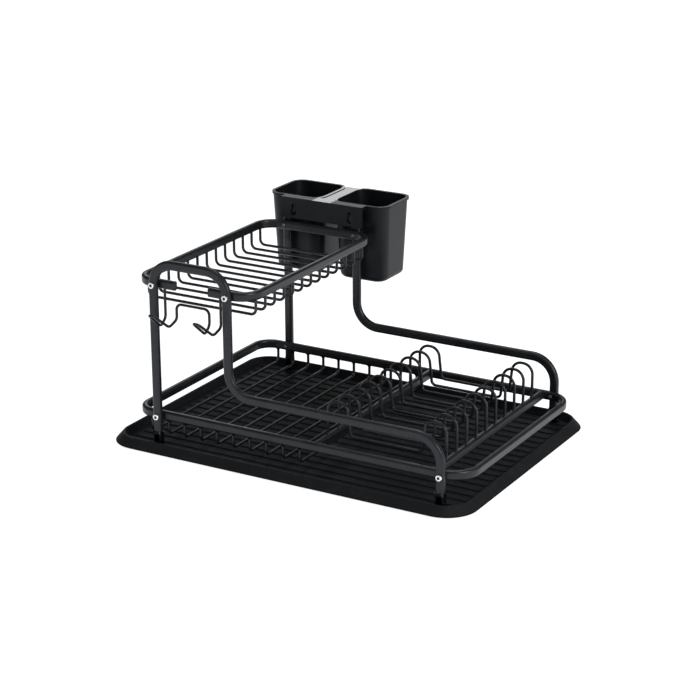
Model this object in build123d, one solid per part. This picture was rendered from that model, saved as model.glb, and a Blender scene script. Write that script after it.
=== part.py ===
# Dish drying rack: tube side frames, two wire baskets, a drip tray and a cutlery holder.
# Millimetres. X runs along the long side, Y from front to back, Z up.
import math
import os

from build123d import *

# tube and wire stock
tube_width = 11.2
tube_depth = 7.4
tube_corner = 3.0
tube_wall = 1.0
wire_size = 3.5
hook_wire_size = 3.3

# side frames
leg_spacing = 380.0
frame_spacing = 300.0
arch_width = 102.0
arch_height = 227.6
arch_bend = 27.0
run_height = 80.3
run_bend = 30.0

# foot caps
cap_wall = 1.0
cap_floor = 2.0
cap_height = 17.0

# lower rim and its two crossbars
lower_height = 36.0
lower_left_reach = 34.5
lower_right_reach = 27.0
lower_left_bend = 22.0
lower_right_bend = 31.0
right_bar_inset = 12.5
bar_spacing = 154.0

# bowl wires
bowl_count = 10
bowl_first_reach = 13.0
bowl_pitch = 22.9
bowl_depth = 23.6
bowl_bend = 6.5

# plate wires
plate_count = 10
plate_end_gap = 30.1
plate_rise = 7.6
loop_rise = 47.4
loop_width = 26.0
loop_foot = 30.5
plate_bend = 6.0

# upper rim and its wires
upper_drop = 27.0
upper_left_reach = 28.7
upper_right_reach = 25.5
upper_bend = 23.0
rim_gap = 47.5
rim_gap_offset = -1.5
upper_count = 13
upper_end_gap = 19.18
upper_depth = 25.0
upper_wire_inset = 3.2
upper_wire_weld = 2.0
upper_wire_bend = 7.0

# cup hook
hook_offset = -2.2
hook_side_gap = 4.9
hook_leg_spacing = 16.0
hook_tip_width = 7.0
hook_drop = 35.6
hook_reach = 40.0
hook_rise = 14.5
hook_sag = 6.5
hook_belly = 13.0
hook_bridge_drop = 16.5

# screws
screw_head = 7.8
screw_head_height = 2.4
screw_shank = 4.0
screw_hole = 4.2
screw_tip = 1.0
hex_key = 2.5

# drip tray
tray_thickness = 1.8
rib_height = 1.2
rib_end_gap = 10.7
rib_width = 10.8
rib_edge = 1.0
rib_count = 19
tray_left_reach = 49.5
tray_right_reach = 24.5
tray_depth_reach = 11.0
tray_corner = 24.0
crest_height = 8.5
wall_run = 3.5
crest_width = 2.2
lip_run = 9.0
lip_gap = 1.2
lip_skin = 1.8

# utensil holder
holder_offset = 2.5
cup_length = 76.4
cup_depth = 74.0
cup_gap = 17.5
cup_height = 101.5
cup_corner = 16.0
cup_draft = 4.2
cup_wall = 2.2
cup_floor = 2.6
cup_rim = 1.4
cup_rim_height = 3.0
web_thickness = 4.4
flap_length = 119.0
flap_height = 27.0
flap_wall = 2.3
channel_clearance = 0.4
head_clearance = 0.131
keyhole_spacing = 82.5

half_legs = leg_spacing / 2
frame_y = frame_spacing / 2
rim_y = frame_y - tube_depth
lower_left = half_legs + lower_left_reach
lower_right = half_legs + lower_right_reach
right_bar_x = half_legs - right_bar_inset
left_bar_x = right_bar_x - bar_spacing
bowl_first_x = -half_legs - bowl_first_reach
bowl_floor = lower_height - bowl_depth
plate_floor = lower_height + plate_rise
loop_top = lower_height + loop_rise
plate_pitch = 2 * (rim_y - plate_end_gap) / (plate_count - 1)
arch_x = -half_legs + arch_width / 2
arch_right = -half_legs + arch_width
arch_inside = arch_width - tube_width
hook_pair_spacing = arch_inside - 2 * hook_side_gap - hook_leg_spacing - hook_wire_size
upper_height = arch_height - upper_drop
upper_left = half_legs + upper_left_reach
upper_right = -arch_right - upper_right_reach
upper_floor = upper_height - upper_depth
upper_pitch = 2 * (rim_y - upper_end_gap) / (upper_count - 1)
foot_rest = tray_thickness + rib_height
tray_left = half_legs + tray_left_reach
tray_right = half_legs + tray_right_reach
tray_half_depth = frame_y + tray_depth_reach
rib_pitch = 2 * (tray_half_depth - rib_end_gap) / (rib_count - 1)
hook_y = 1.0 - rim_y
channel_front = frame_y - tube_depth / 2 - channel_clearance
holder_top = arch_height + tube_width / 2 + web_thickness
cup_lean_at_screw = cup_draft * (holder_top - upper_height) / cup_height
head_face = frame_y + tube_depth / 2 + screw_head_height
channel_back = head_face + head_clearance - cup_lean_at_screw
holder_back = channel_back + cup_depth + cup_rim

# the rack stands off centre in its tray, the hooks overhang the front and the holder the back
tray_outset = wall_run + crest_width + lip_run
tray_front = tray_half_depth + tray_outset
rack_shift_x = (tray_left - tray_right) / 2
hook_front = hook_reach - hook_y + hook_wire_size / 2
rack_shift_y = (max(hook_front, tray_front) - max(holder_back, tray_front)) / 2
rack_place = Pos(rack_shift_x, rack_shift_y, foot_rest)
tray_place = Pos(rack_shift_x, rack_shift_y, 0)


def corner_arc(before, corner, after, radius):
    # the two tangent points and the middle of the bend at one corner
    to_before = (before - corner).normalized()
    to_after = (after - corner).normalized()
    half_angle = to_before.get_angle(to_after) * math.pi / 360
    reach = radius / math.tan(half_angle)
    middle_way = (to_before + to_after).normalized()
    centre = corner + middle_way * (radius / math.sin(half_angle))
    return corner + to_before * reach, centre - middle_way * radius, corner + to_after * reach


def bent_path(points, radii):
    # straight stretches joined by round bends, one radius for each inner point
    corners = [Vector(*point) for point in points]
    edges = []
    here = corners[0]
    for index, radius in enumerate(radii, start=1):
        start, middle, end = corner_arc(corners[index - 1], corners[index], corners[index + 1], radius)
        if (start - here).length > 0.001:
            edges.append(Edge.make_line(here, start))
        edges.append(Edge.make_three_point_arc(start, middle, end))
        here = end
    edges.append(Edge.make_line(here, corners[-1]))
    return Wire(edges)


def round_ring(left, right, half_depth, height, left_radius, right_radius):
    # closed rounded rectangle that starts in the middle of its front side
    middle = (right - left) / 2
    corners = [(right, -half_depth), (right, half_depth), (-left, half_depth), (-left, -half_depth)]
    points = [(middle, -half_depth, height)]
    for x, y in corners:
        points.append((x, y, height))
    points.append((middle, -half_depth, height))
    return bent_path(points, [right_radius, right_radius, left_radius, left_radius])


def tube_section(path, side, shrink):
    # flat oval across the start of a path, its depth along the given side direction
    across = Plane(origin=path @ 0, x_dir=side, z_dir=path % 0)
    shape = RectangleRounded(tube_depth - 2 * shrink, tube_width - 2 * shrink, tube_corner - shrink)
    return across * shape


def flat_tube(path, side, core_path=None):
    outside = sweep(tube_section(path, side, 0), path=path)
    inside_path = core_path or path
    inside = sweep(tube_section(inside_path, side, tube_wall), path=inside_path)
    return outside, outside - inside


def round_wire(path, size):
    across = Plane(origin=path @ 0, z_dir=path % 0)
    return sweep(across * Circle(size / 2), path=path)


def cross_hole(x, y, z, size, length):
    return Pos(x, y, z) * Rot(90, 0, 0) * Cylinder(size / 2, length)


# side frames
def frame_path(y):
    points = [
        (-half_legs, y, cap_floor),
        (-half_legs, y, arch_height),
        (arch_right, y, arch_height),
        (arch_right, y, run_height),
        (half_legs, y, run_height),
        (half_legs, y, cap_floor),
    ]
    return bent_path(points, [arch_bend, arch_bend, run_bend, run_bend])


screw_spots = {
    "lower_left": (-half_legs, lower_height),
    "lower_right": (half_legs, lower_height),
    "upper_left": (-half_legs, upper_height),
    "upper_right": (arch_right, upper_height),
}


def drill_spots(solid, y):
    for x, z in screw_spots.values():
        solid -= cross_hole(x, y, z, screw_hole, tube_depth * 1.5)
    return solid


def side_frame(y):
    tube = flat_tube(frame_path(y), (0, 1, 0))[1]
    return drill_spots(tube, y)


# foot caps
def foot_cap(x, y):
    outline = RectangleRounded(tube_width + 2 * cap_wall, tube_depth + 2 * cap_wall, tube_corner + cap_wall)
    shell = extrude(outline, cap_height)
    shell = chamfer(shell.faces().sort_by(Axis.Z)[0].edges(), 0.5)
    pocket = extrude(RectangleRounded(tube_width, tube_depth, tube_corner), cap_height)
    return Pos(x, y, 0) * (shell - Pos(0, 0, cap_floor) * pocket)


# rims
def lower_rim():
    path = round_ring(lower_left, lower_right, rim_y, lower_height, lower_left_bend, lower_right_bend)
    outside, tube = flat_tube(path, (0, 1, 0))
    for side in (-1, 1):
        for name in ("lower_left", "lower_right"):
            x, z = screw_spots[name]
            tube -= cross_hole(x, side * rim_y, z, screw_hole, tube_depth * 1.5)
    return outside, tube


def upper_rim_path(inset):
    gap_middle = arch_x + rim_gap_offset
    left_end = gap_middle - rim_gap / 2 - inset
    right_end = gap_middle + rim_gap / 2 + inset
    z = upper_height
    points = [
        (right_end, -rim_y, z),
        (-upper_right, -rim_y, z),
        (-upper_right, rim_y, z),
        (-upper_left, rim_y, z),
        (-upper_left, -rim_y, z),
        (left_end, -rim_y, z),
    ]
    return bent_path(points, [upper_bend] * 4)


def upper_rim():
    outside, tube = flat_tube(upper_rim_path(0), (0, 1, 0), upper_rim_path(2 * tube_wall))
    for side in (-1, 1):
        for name in ("upper_left", "upper_right"):
            x, z = screw_spots[name]
            tube -= cross_hole(x, side * rim_y, z, screw_hole, tube_depth * 1.5)
    return outside, tube


def crossbar(x):
    half = rim_y - tube_depth / 2
    path = Wire([Edge.make_line((x, -half, lower_height), (x, half, lower_height))])
    return flat_tube(path, (1, 0, 0))


# basket wires
def bowl_wire(x):
    top = lower_height
    points = [(x, -rim_y, top), (x, -rim_y, bowl_floor), (x, rim_y, bowl_floor), (x, rim_y, top)]
    return round_wire(bent_path(points, [bowl_bend] * 2), wire_size)


def plate_wire(y):
    left_loop = left_bar_x + loop_width
    left_foot = left_bar_x + loop_foot
    right_loop = right_bar_x - loop_width
    right_foot = right_bar_x - loop_foot
    points = [
        (left_bar_x, y, lower_height),
        (left_bar_x, y, loop_top),
        (left_loop, y, loop_top),
        (left_foot, y, plate_floor),
        (right_foot, y, plate_floor),
        (right_loop, y, loop_top),
        (right_bar_x, y, loop_top),
        (right_bar_x, y, lower_height),
    ]
    loop_bend = loop_width / 2 - 0.4
    radii = [loop_bend, loop_bend, plate_bend, plate_bend, loop_bend, loop_bend]
    return round_wire(bent_path(points, radii), wire_size)


def upper_wire(y):
    left = upper_wire_inset - upper_left
    right = -upper_right - upper_wire_inset
    top = upper_height - tube_width / 2 + upper_wire_weld
    points = [(left, y, top), (left, y, upper_floor), (right, y, upper_floor), (right, y, top)]
    return round_wire(bent_path(points, [upper_wire_bend] * 2), wire_size)


# cup hook
def hook_loop(centre):
    # down one leg, forward to a narrow tip, and back to the other leg
    near = hook_leg_spacing / 2
    low = upper_height - tube_width / 2 - hook_drop
    tip_y = hook_y - hook_reach
    tip_z = low + hook_rise
    belly_y = hook_y - hook_belly
    belly_z = low - hook_sag
    waist = (near + hook_tip_width / 2) / 2
    spots = [(near, hook_y, low), (waist, belly_y, belly_z), (hook_tip_width / 2, tip_y, tip_z)]
    left = [(centre - x, y, z) for x, y, z in spots]
    right = [(centre + x, y, z) for x, y, z in reversed(spots)]
    return left, right


def cup_hook():
    middle = arch_x + hook_offset
    bridge = upper_height - tube_width / 2 - hook_bridge_drop
    outer = hook_pair_spacing / 2 + hook_leg_spacing / 2
    inner = hook_pair_spacing / 2 - hook_leg_spacing / 2
    left_out, left_back = hook_loop(middle - hook_pair_spacing / 2)
    right_out, right_back = hook_loop(middle + hook_pair_spacing / 2)
    points = [(middle - outer, hook_y, upper_height)] + left_out + left_back
    points += [(middle - inner, hook_y, bridge), (middle + inner, hook_y, bridge)]
    points += right_out + right_back + [(middle + outer, hook_y, upper_height)]
    loop_radii = [7.0, 7.0, 3.2, 3.2, 7.0, 7.0]
    radii = loop_radii + [7.0, 7.0] + loop_radii
    return round_wire(bent_path(points, radii), hook_wire_size)


# screws
def screw(x, z, side):
    # the head sits outside the frame and the tip shows inside the rim
    face = frame_y + tube_depth / 2
    length = 2 * tube_depth + screw_tip
    head = extrude(Circle(screw_head / 2), screw_head_height)
    head = fillet(head.faces().sort_by(Axis.Z)[-1].edges(), 1.0)
    socket = extrude(RegularPolygon(hex_key / 2, 6, major_radius=False), screw_head_height)
    head -= Pos(0, 0, screw_head_height - 1.5) * socket
    shank = Pos(0, 0, -length / 2) * Cylinder(screw_shank / 2, length)
    shank = chamfer(shank.faces().sort_by(Axis.Z)[0].edges(), 0.5)
    turn = 90 if side < 0 else -90
    return Pos(x, side * face, z) * Rot(turn, 0, 0) * (head + shank)


# drip tray
def tray_profile():
    # wall and lip section: outward distance from the floor edge, and height
    top = foot_rest + crest_height
    out = wall_run + crest_width
    under = top - lip_skin
    foot_out = out + lip_run
    foot_in = foot_out - lip_skin * 1.2
    points = [
        (-2.0, 0.0),
        (lip_skin, 0.0),
        (wall_run + lip_skin * 0.7, under),
        (out - lip_skin * 0.4, under),
        (foot_in, lip_gap),
        (foot_out, lip_gap),
        (out, top),
        (wall_run, top),
        (0.0, tray_thickness),
        (-2.0, tray_thickness),
    ]
    return points


def tray_wall():
    path = round_ring(tray_left, tray_right, tray_half_depth, 0, tray_corner, tray_corner)
    across = Plane(origin=path @ 0, x_dir=(0, -1, 0), z_dir=(path % 0) * -1)
    section = make_face(Polyline(*tray_profile(), close=True))
    return sweep(across * section, path=path)


def drip_tray():
    length = tray_left + tray_right
    centre = (tray_right - tray_left) / 2
    floor_shape = RectangleRounded(length - 2, 2 * tray_half_depth - 2, tray_corner - 1)
    tray = tray_wall() + Pos(centre, 0, 0) * extrude(floor_shape, tray_thickness)
    rib = extrude(RectangleRounded(length - 12, rib_width, 2.5), rib_height)
    rib = fillet(rib.faces().sort_by(Axis.Z)[-1].edges(), min(rib_edge, rib_height * 0.9))
    for index in range(rib_count):
        y = (index - (rib_count - 1) / 2) * rib_pitch
        tray += Pos(centre, y, tray_thickness) * rib
    return tray


# utensil holder
def cup_solid(inset, top_z, bottom_z):
    # all four walls lean in towards the floor
    lean = 2 * cup_draft
    top_shape = RectangleRounded(cup_length - 2 * inset, cup_depth - 2 * inset, cup_corner - inset)
    low_length = cup_length - lean - 2 * inset
    low_shape = RectangleRounded(low_length, cup_depth - lean - 2 * inset, cup_corner - inset)
    top_face = Pos(0, cup_depth / 2, top_z) * top_shape
    low_face = Pos(0, cup_depth / 2, bottom_z) * low_shape
    return loft([low_face, top_face])


def cup_shell():
    rim_shape = RectangleRounded(cup_length + 2 * cup_rim, cup_depth + cup_rim, cup_corner)
    shell = cup_solid(0, 0, -cup_height)
    shell = fillet(shell.faces().sort_by(Axis.Z)[0].edges(), 7.0)
    collar = Pos(0, (cup_depth + cup_rim) / 2, -cup_rim_height) * extrude(rim_shape, cup_rim_height)
    return shell + collar


def cup_cavity():
    cavity = cup_solid(cup_wall, 0.01, cup_floor - cup_height)
    return fillet(cavity.faces().sort_by(Axis.Z)[0].edges(), 5.0)


def keyhole():
    round_top = Pos(0, 4.5) * Circle(2.6)
    round_low = Pos(0, -3.5) * Circle(4.2)
    neck = Pos(0, 1.0) * Rectangle(4.4, 6.0)
    return Rot(90, 0, 0) * extrude(round_top + round_low + neck, 10, both=True)


def utensil_holder():
    offset = (cup_length + cup_gap) / 2
    cups = [Pos(side * offset, channel_back, holder_top) for side in (-1, 1)]
    holder = cups[0] * cup_shell() + cups[1] * cup_shell()
    depth = cup_depth - 2 * cup_wall
    bridge = Pos(0, channel_back + cup_depth / 2, holder_top - 2.0) * Box(cup_gap + 4, depth, 2.4)
    holder += bridge
    flap_front = channel_front - flap_wall
    saddle_depth = channel_back + 2 * cup_wall - flap_front
    saddle_z = holder_top - web_thickness / 2
    saddle = Pos(0, flap_front + saddle_depth / 2, saddle_z) * Box(flap_length, saddle_depth, web_thickness)
    flap = Pos(0, flap_front + flap_wall / 2, holder_top - flap_height / 2) * Box(flap_length, flap_wall, flap_height)
    holder += saddle + flap
    for cup in cups:
        holder -= cup * cup_cavity()
    for side in (-1, 1):
        holder -= Pos(side * keyhole_spacing / 2, flap_front, holder_top - 15.5) * keyhole()
    return Pos(arch_x + holder_offset, 0, 0) * holder


def save(name, solid):
    solid.label = name
    export_step(solid, f"parts/{name}.step")


os.makedirs("parts", exist_ok=True)

save("drip_tray", tray_place * drip_tray())

for name, side in (("front", -1), ("rear", 1)):
    save(f"{name}_side_frame", rack_place * side_frame(side * frame_y))
    save(f"{name}_left_foot_cap", rack_place * foot_cap(-half_legs, side * frame_y))
    save(f"{name}_right_foot_cap", rack_place * foot_cap(half_legs, side * frame_y))
    for spot, (x, z) in screw_spots.items():
        save(f"{name}_{spot}_screw", rack_place * screw(x, z, side))

lower_solid, lower_tube = lower_rim()
save("lower_rim", rack_place * lower_tube)

left_bar_solid, left_bar = crossbar(left_bar_x)
right_bar_solid, right_bar = crossbar(right_bar_x)
save("left_crossbar", rack_place * left_bar)
save("right_crossbar", rack_place * right_bar)

for index in range(bowl_count):
    wire = bowl_wire(bowl_first_x + index * bowl_pitch) - lower_solid
    save(f"bowl_wire_{index + 1}", rack_place * wire)

plate_blank = plate_wire(0) - left_bar_solid - right_bar_solid
for index in range(plate_count):
    y = (index - (plate_count - 1) / 2) * plate_pitch
    save(f"plate_wire_{index + 1}", rack_place * Pos(0, y, 0) * plate_blank)

upper_solid, upper_tube = upper_rim()
save("upper_rim", rack_place * upper_tube)

for index in range(upper_count):
    y = (index - (upper_count - 1) / 2) * upper_pitch
    save(f"upper_wire_{index + 1}", rack_place * (upper_wire(y) - upper_solid))

save("cup_hook", rack_place * (cup_hook() - upper_solid))
save("utensil_holder", rack_place * utensil_holder())
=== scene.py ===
import math

import bmesh
import bpy
from mathutils import Matrix, Vector


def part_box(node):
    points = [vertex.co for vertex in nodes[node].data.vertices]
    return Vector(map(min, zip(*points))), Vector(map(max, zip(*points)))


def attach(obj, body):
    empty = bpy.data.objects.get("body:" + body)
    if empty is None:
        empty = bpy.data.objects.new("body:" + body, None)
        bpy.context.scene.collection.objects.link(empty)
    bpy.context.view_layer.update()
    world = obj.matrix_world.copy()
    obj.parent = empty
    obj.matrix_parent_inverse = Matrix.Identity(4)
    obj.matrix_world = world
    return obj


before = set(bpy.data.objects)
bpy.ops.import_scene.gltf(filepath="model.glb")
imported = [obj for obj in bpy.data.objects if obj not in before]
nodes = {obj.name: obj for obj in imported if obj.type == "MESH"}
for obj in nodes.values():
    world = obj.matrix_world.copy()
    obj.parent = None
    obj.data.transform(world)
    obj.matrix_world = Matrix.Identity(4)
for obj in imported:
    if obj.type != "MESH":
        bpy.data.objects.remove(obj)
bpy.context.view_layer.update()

print("frame loaded:", len(nodes), "nodes")


class Link:
    # one shader socket, so that node maths can be written as plain expressions
    def __init__(self, finish, socket):
        self.finish = finish
        self.socket = socket

    def maths(self, operation, first, second):
        return self.finish.add("ShaderNodeMath", {"operation": operation}, {0: first, 1: second})

    def __add__(self, other):
        return self.maths("ADD", self, other)

    def __radd__(self, other):
        return self.maths("ADD", other, self)

    def __sub__(self, other):
        return self.maths("SUBTRACT", self, other)

    def __rsub__(self, other):
        return self.maths("SUBTRACT", other, self)

    def __mul__(self, other):
        return self.maths("MULTIPLY", self, other)

    def __rmul__(self, other):
        return self.maths("MULTIPLY", other, self)

    def __truediv__(self, other):
        return self.maths("DIVIDE", self, other)

    def __rtruediv__(self, other):
        return self.maths("DIVIDE", other, self)

    def __pow__(self, other):
        return self.maths("POWER", self, other)


class Finish:
    # one material and the nodes that make its look
    def __init__(self, name):
        self.material = bpy.data.materials.new(name)
        self.material.use_nodes = True
        self.tree = self.material.node_tree
        self.shader = self.tree.nodes["Principled BSDF"]
        self.place = self.add("ShaderNodeTexCoord", {}, {}, "Object")

    def feed(self, node, sockets):
        for key, value in sockets.items():
            if isinstance(value, Link):
                self.tree.links.new(value.socket, node.inputs[key])
            else:
                node.inputs[key].default_value = value

    def add(self, kind, settings, sockets, out=0):
        node = self.tree.nodes.new(kind)
        for key, value in settings.items():
            if key == "stops":  # a ramp's stops, as (position, grey level)
                for index, (position, level) in enumerate(value):
                    stop = node.color_ramp.elements[index]
                    stop.position = position
                    stop.color = (level, level, level, 1)
            else:
                setattr(node, key, value)
        self.feed(node, sockets)
        return Link(self, node.outputs[out])

    def noise(self, size, detail=3.0, roughness=0.5):
        # size is the width of one blotch in metres
        sockets = {
            "Vector": self.place,
            "Scale": 1 / size,
            "Detail": detail,
            "Roughness": roughness,
        }
        return self.add("ShaderNodeTexNoise", {}, sockets, "Fac")

    def step(self, value, low, high):
        # 0 below low, 1 above high, smooth between
        settings = {"interpolation_type": "SMOOTHSTEP"}
        return self.add("ShaderNodeMapRange", settings, {0: value, 1: low, 2: high})

    def blend(self, mask, first, second):
        sockets = {0: mask, 6: first, 7: second}
        return self.add("ShaderNodeMix", {"data_type": "RGBA"}, sockets, 2)

    def axes(self, vector):
        sockets = {0: vector}
        return [self.add("ShaderNodeSeparateXYZ", {}, sockets, name) for name in ("X", "Y", "Z")]

    def facingUp(self):
        normal = self.add("ShaderNodeNewGeometry", {}, {}, "Normal")
        return self.axes(normal)[2]

    def bump(self, height, depth, strength=1.0):
        sockets = {"Height": height, "Distance": depth, "Strength": strength}
        return self.add("ShaderNodeBump", {}, sockets, "Normal")

    def finishWith(self, sockets):
        self.feed(self.shader, sockets)
        return self.material


def grey(level, blue=1.0):
    # blue above 1 cools the grey a little
    return (level, level * (1 + blue) / 2, level * blue, 1)


coolSheen = (0.86, 0.89, 1.0, 1)  # tint of the reflections on every black piece


def dress(names, material):
    for name in names:
        slots = nodes[name].material_slots
        for slot in slots:
            slot.material = material


def named(*words):
    return [name for name in nodes if all(word in name for word in words)]


# powder coat on the tubes and wires
coatLook = {
    "dark": grey(0.006, 1.3),
    "light": grey(0.011, 1.3),
    "dust": grey(0.03, 1.15),
    "dustCover": 0.15,
    "roughness": 0.36,
    "roughnessSpread": 0.12,
    "grain": 0.0007,  # width of one bump of the coat
    "grainDepth": 0.00006,
    "pitShare": 0.6,  # how many pits there are for each bump
    "patch": 0.018,
    "specular": 0.32,
    "coat": 0.10,
    "coatRoughness": 0.22,
}


def powderCoat(name, look, glossier=0.0):
    coat = Finish(name)
    patches = coat.noise(look["patch"], 4.0, 0.6)
    grain = coat.noise(look["grain"], 2.0, 0.55)
    pitSockets = {"Vector": coat.place, "Scale": look["pitShare"] / look["grain"]}
    pits = coat.add("ShaderNodeTexVoronoi", {}, pitSockets, "Distance")
    dust = coat.step(coat.facingUp(), 0.55, 1.0) * coat.step(patches, 0.42, 0.66)
    tone = coat.blend(coat.step(patches, 0.3, 0.7), look["dark"], look["light"])
    tone = coat.blend(dust * look["dustCover"], tone, look["dust"])
    roughness = look["roughness"] - glossier + (patches - 0.5) * look["roughnessSpread"] + dust * 0.08
    relief = grain * 0.7 + pits * 0.3
    return coat.finishWith({
        "Base Color": tone,
        "Roughness": roughness,
        "Normal": coat.bump(relief, look["grainDepth"], 0.6),
        "Specular IOR Level": look["specular"],
        "Specular Tint": coolSheen,
        "Coat Weight": look["coat"],
        "Coat Roughness": look["coatRoughness"],
    })


tubeNodes = named("side_frame") + named("rim") + named("crossbar")
wireNodes = named("wire") + named("cup_hook")
dress(tubeNodes, powderCoat("tubePowderCoat", coatLook))
dress(wireNodes, powderCoat("wirePowderCoat", coatLook, 0.05))
print("powder coat on", len(tubeNodes), "tubes and", len(wireNodes), "wires")


# moulded plastic of the drip tray
trayLook = {
    # painted shade colour for the grooves between the ribs
    "paintedGrooveShade": grey(0.005, 1.2),
    "land": grey(0.008, 1.25),
    "crest": grey(0.010, 1.25),
    "ring": grey(0.04),
    "ringCover": 0.12,
    "haze": grey(0.012, 1.05),
    "hazeCover": 0.35,
    "roughness": 0.66,
    "texture": 0.0011,  # width of one pip of the mould's texture
    "textureDepth": 0.00008,
    "waterMark": 0.045,  # width of one dried patch
    "specular": 0.12,
}


def trayPlastic(look):
    low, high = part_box("drip_tray")
    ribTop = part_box("front_left_foot_cap")[0].z
    tray = Finish("trayPlastic")
    z = tray.axes(tray.place)[2]
    pips = tray.noise(look["texture"], 2.0, 0.6)
    marks = tray.noise(look["waterMark"], 5.0, 0.62)
    rings = tray.step(marks, 0.49, 0.52) - tray.step(marks, 0.52, 0.55)  # thin edges of dried water
    onRib = tray.step(z, ribTop - 0.0009, ribTop - 0.0002)
    onCrest = tray.step(z, high.z - 0.0012, high.z - 0.0002)
    # painted shade: below the rib tops the grooves get a darker colour than the lands
    tone = tray.blend(onRib, look["paintedGrooveShade"], look["land"])
    tone = tray.blend(onCrest * 0.8, tone, look["crest"])
    tone = tray.blend(rings * onRib * look["ringCover"], tone, look["ring"])
    tone = tray.blend(tray.step(marks, 0.35, 0.75) * look["hazeCover"], tone, look["haze"])
    roughness = look["roughness"] + (marks - 0.5) * 0.22 - onCrest * 0.10 + (pips - 0.5) * 0.10
    return tray.finishWith({
        "Base Color": tone,
        "Roughness": roughness,
        "Normal": tray.bump(pips, look["textureDepth"], 0.7),
        "Specular IOR Level": look["specular"],
        "Specular Tint": coolSheen,
    })


dress(["drip_tray"], trayPlastic(trayLook))
print("drip tray dressed")


# moulded plastic of the cutlery holder, polished on the saddle between its cups, where a lighter colour
# is a painted reflection
holderLook = {
    "dark": grey(0.004, 1.3),
    "light": grey(0.007, 1.3),
    "roughness": 0.42,
    "saddleRoughness": 0.24,
    "saddleCoat": 0.55,
    "saddlePaintedReflection": grey(0.10, 1.1),
    "saddleHalfWidth": 0.0125,
    "texture": 0.0009,
    "textureDepth": 0.00005,
    "patch": 0.03,
    "specular": 0.24,
}


def holderPlastic(look):
    low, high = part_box("utensil_holder")
    middle = (low.x + high.x) / 2
    cups = Finish("holderPlastic")
    x, y, z = cups.axes(cups.place)
    pips = cups.noise(look["texture"], 2.0, 0.6)
    patches = cups.noise(look["patch"], 4.0, 0.55)
    aside = cups.add("ShaderNodeMath", {"operation": "ABSOLUTE"}, {0: x - middle})
    inside = 1 - cups.step(aside, look["saddleHalfWidth"], look["saddleHalfWidth"] + 0.0015)
    onTop = cups.step(z, high.z - 0.004, high.z - 0.003)
    saddle = inside * onTop * cups.step(cups.facingUp(), 0.7, 0.95)
    tone = cups.blend(cups.step(patches, 0.3, 0.7), look["dark"], look["light"])
    # painted reflection: the saddle's base colour is lightened to stand in for its glossy highlight
    tone = cups.blend(saddle * 0.8, tone, look["saddlePaintedReflection"])
    rough = look["roughness"] + (patches - 0.5) * 0.14
    roughness = rough * (1 - saddle) + saddle * look["saddleRoughness"]
    return cups.finishWith({
        "Base Color": tone,
        "Roughness": roughness,
        "Normal": cups.bump(pips * (1 - saddle), look["textureDepth"], 0.5),
        "Specular IOR Level": look["specular"],
        "Specular Tint": coolSheen,
        "Coat Weight": saddle * look["saddleCoat"],
        "Coat Roughness": 0.05,
    })


dress(["utensil_holder"], holderPlastic(holderLook))
print("cutlery holder dressed")


# clear foot caps
capLook = {
    "tint": (0.93, 0.94, 0.95, 1),
    "cloudy": (0.80, 0.82, 0.84, 1),
    "roughness": 0.05,
    "cloud": 0.004,
    "transmission": 1.0,
    "ior": 1.22,
}


def clearPlastic(look):
    cap = Finish("clearCapPlastic")
    cloud = cap.noise(look["cloud"], 3.0, 0.5)
    tone = cap.blend(cap.step(cloud, 0.35, 0.7) * 0.4, look["tint"], look["cloudy"])
    return cap.finishWith({
        "Base Color": tone,
        "Roughness": look["roughness"] + (cloud - 0.5) * 0.04,
        "Normal": cap.bump(cloud, 0.00004, 0.5),
        "Transmission Weight": look["transmission"],
        "IOR": look["ior"],
    })


capNodes = named("foot_cap")
dress(capNodes, clearPlastic(capLook))
print("clear caps:", len(capNodes))


# plated button screws
screwLook = {
    "bright": (0.80, 0.80, 0.82, 1),
    # dark is the painted shade inside the key socket
    "dark": (0.03, 0.03, 0.035, 1),
    "keyRadius": 0.0018,
    "roughness": 0.20,
    "turning": 0.00025,  # spacing of the rings left by the lathe
}


def screwPlating(name, look):
    low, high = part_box(name)
    centreX = (low.x + high.x) / 2
    centreZ = (low.z + high.z) / 2
    plating = Finish(name + "Plating")
    x, y, z = plating.axes(plating.place)
    across = (x - centreX) * (x - centreX)
    upward = (z - centreZ) * (z - centreZ)
    radius = (across + upward) ** 0.5
    turns = radius * (2 * math.pi / look["turning"])
    rings = plating.add("ShaderNodeMath", {"operation": "SINE"}, {0: turns})
    grime = plating.noise(0.0012, 3.0, 0.6)
    # painted shade: the key socket at the centre of the head is coloured dark, made less metallic and
    # made rougher
    socketShade = 1 - plating.step(radius, look["keyRadius"], look["keyRadius"] + 0.0003)
    tone = plating.blend(socketShade * 0.92, look["bright"], look["dark"])
    tone = plating.blend(plating.step(grime, 0.5, 0.8) * 0.3, tone, grey(0.25))
    return plating.finishWith({
        "Base Color": tone,
        "Metallic": 1 - socketShade * 0.6,
        "Roughness": look["roughness"] + grime * 0.12 + socketShade * 0.3,
        "Normal": plating.bump(rings, 0.00001, 0.3),
    })


screwNodes = named("screw")
for name in screwNodes:
    dress([name], screwPlating(name, screwLook))
print("screws plated:", len(screwNodes))


# small weld fillets where the wires meet the rims and the crossbars
weldLook = {
    "flare": 0.0012,  # how far a fillet spreads on the tube
    "height": 0.0022,
    "ripple": 0.25,  # unevenness of the flare
    "clearOfWire": 1.01,
    "sides": 18,
    "rings": 5,
}


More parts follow.
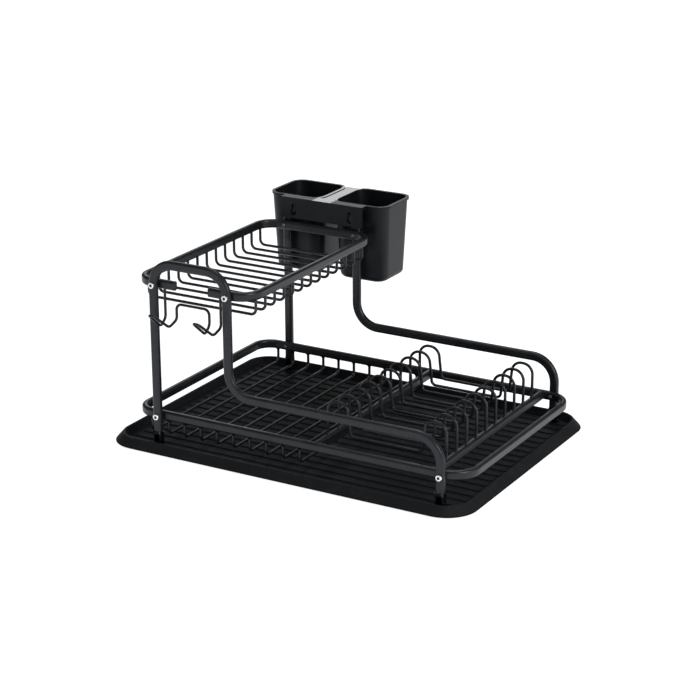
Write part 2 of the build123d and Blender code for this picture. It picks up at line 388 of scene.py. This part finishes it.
def addFillet(mesh, foot, away, wireRadius, look):
    # a flared collar round a wire: wide at the tube, thin along the wire
    turn = Vector((0, 0, 1)).rotation_difference(away).to_matrix().to_4x4()
    place = Matrix.Translation(foot) @ turn
    rows = []
    for ring in range(look["rings"] + 1):
        share = ring / look["rings"]
        flare = look["flare"] * (1 - share) ** 2
        row = []
        for side in range(look["sides"]):
            angle = 2 * math.pi * side / look["sides"]
            ripple = 1 + look["ripple"] * math.sin(3 * angle + foot.x * 900)
            radius = wireRadius * look["clearOfWire"] + flare * ripple
            point = Vector((radius * math.cos(angle), radius * math.sin(angle), look["height"] * share))
            row.append(mesh.verts.new(place @ point))
        rows.append(row)
    for lower, upper in zip(rows, rows[1:]):
        for side in range(look["sides"]):
            following = (side + 1) % look["sides"]
            mesh.faces.new((lower[side], lower[following], upper[following], upper[side]))


def weldPiece(name, spots, material):
    mesh = bmesh.new()
    for foot, away, wireRadius in spots:
        addFillet(mesh, foot, away, wireRadius, weldLook)
    for face in mesh.faces:
        face.smooth = True
    data = bpy.data.meshes.new(name)
    mesh.to_mesh(data)
    mesh.free()
    piece = bpy.data.objects.new(name, data)
    bpy.context.collection.objects.link(piece)
    data.materials.append(material)
    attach(piece, "rack")


weldCoat = powderCoat("weldPowderCoat", coatLook, 0.02)
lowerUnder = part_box("lower_rim")[0].z
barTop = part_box("left_crossbar")[1].z
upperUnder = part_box("upper_rim")[0].z
down = Vector((0, 0, -1))
up = Vector((0, 0, 1))

bowlSpots = []
for name in named("bowl_wire"):
    low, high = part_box(name)
    radius = (high.x - low.x) / 2
    for y in (low.y + radius, high.y - radius):
        bowlSpots.append((Vector(((low.x + high.x) / 2, y, lowerUnder)), down, radius))

plateSpots = []
for name in named("plate_wire"):
    low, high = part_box(name)
    radius = (high.y - low.y) / 2
    for x in (low.x + radius, high.x - radius):
        plateSpots.append((Vector((x, (low.y + high.y) / 2, barTop)), up, radius))

weldPiece("bowl_wire_welds", bowlSpots, weldCoat)
weldPiece("plate_wire_welds", plateSpots, weldCoat)
print("weld fillets:", len(bowlSpots) + len(plateSpots))


# floor, lights and camera
studioLook = {
    "floor": (0.55, 0.55, 0.55, 1),
    "fibre": (0.57, 0.57, 0.57, 1),
    "floorDrop": 0.0003,  # keeps the floor just under the tray
    "floorGlow": 0.84,
    "floorSize": 14.0,
    "world": (0.94, 0.97, 1.0, 1),
    "worldStrength": 0.17,
    "lights": [
        # name, place, size, watts
        ("softRight", (2.2, -0.7, 1.2), 1.2, 40),
        ("softFront", (-0.3, -2.6, 1.5), 1.4, 8),
        ("softTop", (-0.3, 0.6, 2.4), 1.4, 20),
        ("softBack", (-1.7, 2.6, 1.15), 1.3, 8),
    ],
    "aim": (0.0, 0.0, 0.10),
}


def addFloor(look):
    size = look["floorSize"] / 2
    mesh = bmesh.new()
    corners = [(-size, -size), (size, -size), (size, size), (-size, size)]
    mesh.faces.new([mesh.verts.new((x, y, -look["floorDrop"])) for x, y in corners])
    data = bpy.data.meshes.new("floor")
    mesh.to_mesh(data)
    mesh.free()
    floor = bpy.data.objects.new("floor", data)
    bpy.context.collection.objects.link(floor)
    paper = Finish("floorPaper")
    fibres = paper.noise(0.03, 3.0, 0.5)
    tone = paper.blend(fibres, look["floor"], look["fibre"])
    data.materials.append(paper.finishWith({
        "Base Color": tone,
        "Roughness": 0.9,
        "Specular IOR Level": 0.1,
        "Emission Color": (1, 1, 1, 1),
        "Emission Strength": look["floorGlow"],
    }))


def addLight(name, place, size, watts, aim):
    lamp = bpy.data.lights.new(name, "AREA")
    lamp.energy = watts
    lamp.size = size
    light = bpy.data.objects.new(name, lamp)
    light.location = place
    light.rotation_euler = (Vector(aim) - Vector(place)).to_track_quat("-Z", "Y").to_euler()
    bpy.context.collection.objects.link(light)


addFloor(studioLook)
for name, place, size, watts in studioLook["lights"]:
    addLight(name, place, size, watts, studioLook["aim"])

world = bpy.data.worlds.new("paleStudio")
world.use_nodes = True
backdrop = world.node_tree.nodes["Background"]
backdrop.inputs["Color"].default_value = studioLook["world"]
backdrop.inputs["Strength"].default_value = studioLook["worldStrength"]
bpy.context.scene.world = world
bpy.context.scene.view_settings.view_transform = "Standard"

cameraLook = {
    "place": (1.1796, -2.0653, 0.9347),
    "turn": 30.0,  # degrees round to the right of the front
    "tilt": 19.34,  # degrees downward
    "roll": -0.22,
    "lens": 106.95,
    "shiftX": -0.0001,
    "shiftY": 0.0001,
}


def addCamera(look):
    turn, tilt, roll = (math.radians(look[key]) for key in ("turn", "tilt", "roll"))
    ahead = Vector((-math.sin(turn) * math.cos(tilt), math.cos(turn) * math.cos(tilt), -math.sin(tilt)))
    level = Vector((math.cos(turn), math.sin(turn), 0))
    above = level.cross(ahead)
    right = level * math.cos(roll) + above * math.sin(roll)
    top = above * math.cos(roll) - level * math.sin(roll)
    lens = bpy.data.cameras.new("camera")
    lens.lens = look["lens"]
    lens.sensor_width = 36
    lens.clip_end = 50
    lens.shift_x = look["shiftX"]
    lens.shift_y = look["shiftY"]
    camera = bpy.data.objects.new("camera", lens)
    columns = Matrix((right, top, -ahead)).transposed().to_4x4()
    camera.matrix_world = Matrix.Translation(look["place"]) @ columns
    bpy.context.collection.objects.link(camera)
    bpy.context.scene.camera = camera


addCamera(cameraLook)
print("studio ready")
